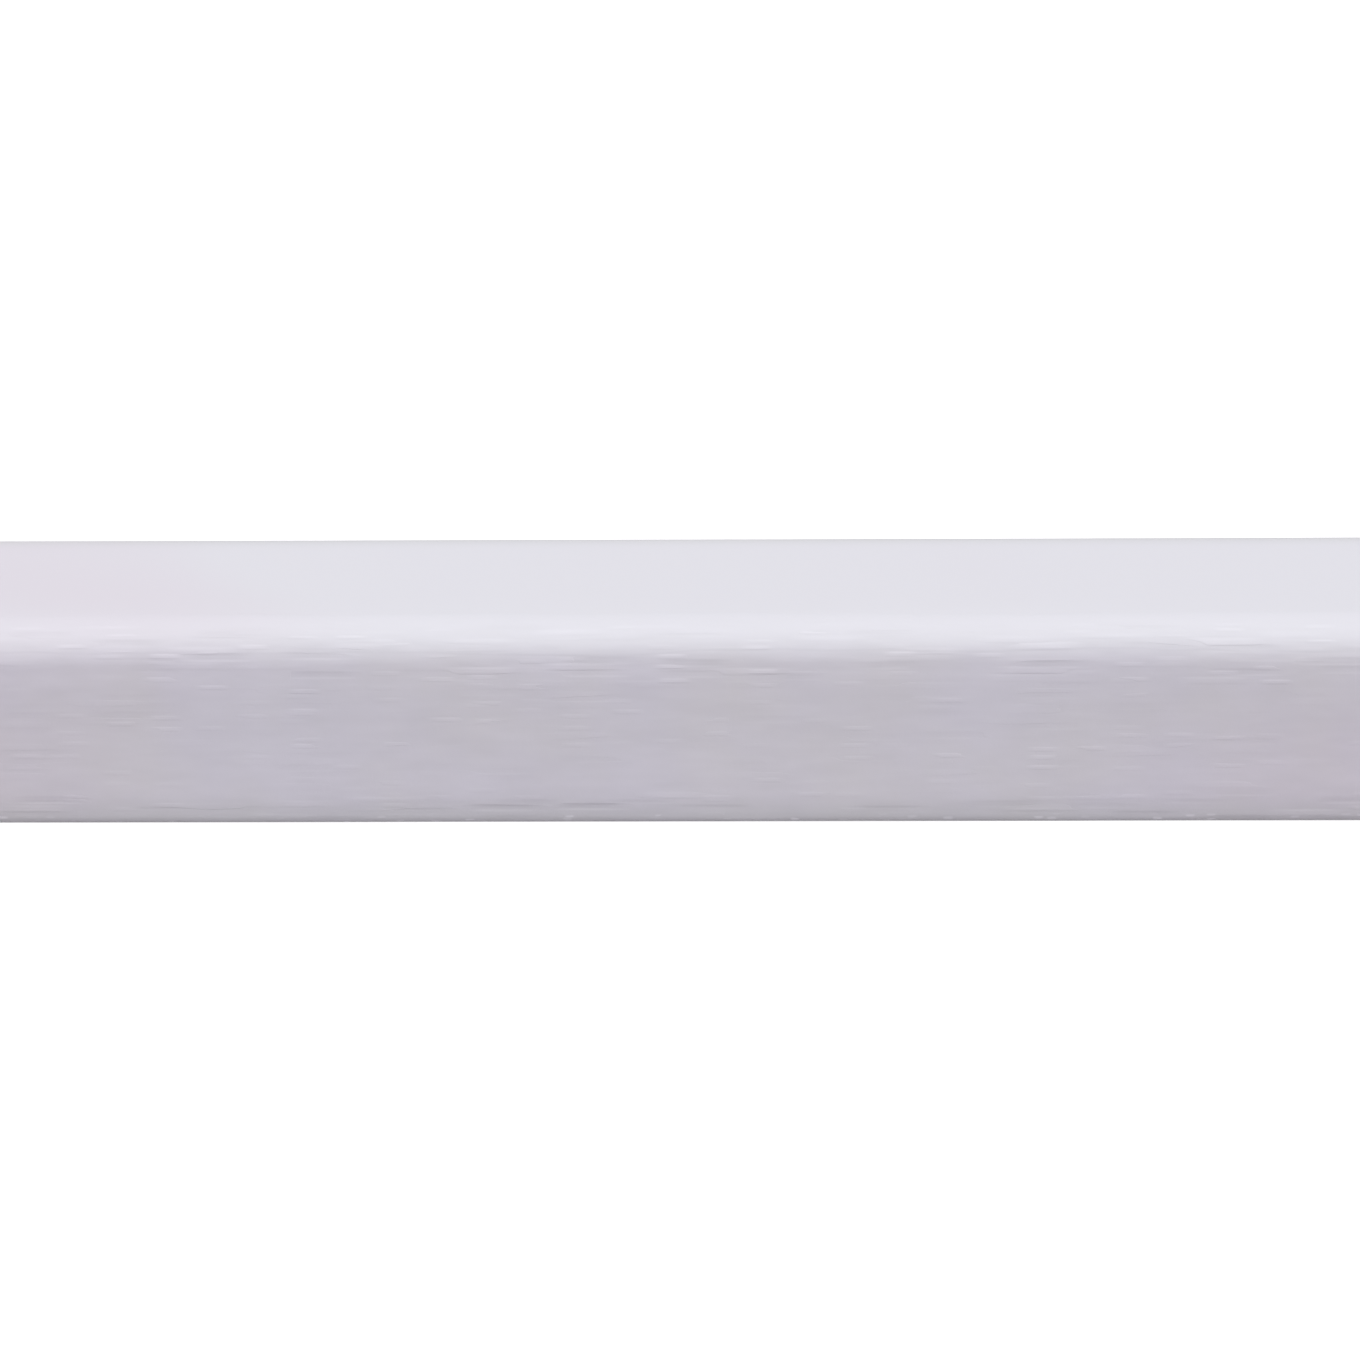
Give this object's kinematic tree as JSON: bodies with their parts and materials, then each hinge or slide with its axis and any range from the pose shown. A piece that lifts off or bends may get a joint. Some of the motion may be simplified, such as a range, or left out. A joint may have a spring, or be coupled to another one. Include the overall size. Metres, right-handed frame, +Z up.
{
  "type": "glazing bead",
  "caption": "Straight rectangular strip of white-primed softwood with one rounded long edge, pinned into a rebate to hold a pane of glass.",
  "frame": {"origin": "middle of the rebate face, the wide flat face that the bead lies on", "axes": "+X along the length, -Y out of the front face in sight, +Y out of the glass face, +Z up out of the top face"},
  "size_m": [2.4, 0.015, 0.009],
  "materials": {
    "primed_softwood": "planed softwood under a thin, satin-matt, slightly cool white primer; fine grain shows through along the length"
  },
  "bodies": {
    "root": {"glazing_bead": "primed_softwood"}
  },
  "joints": []
}
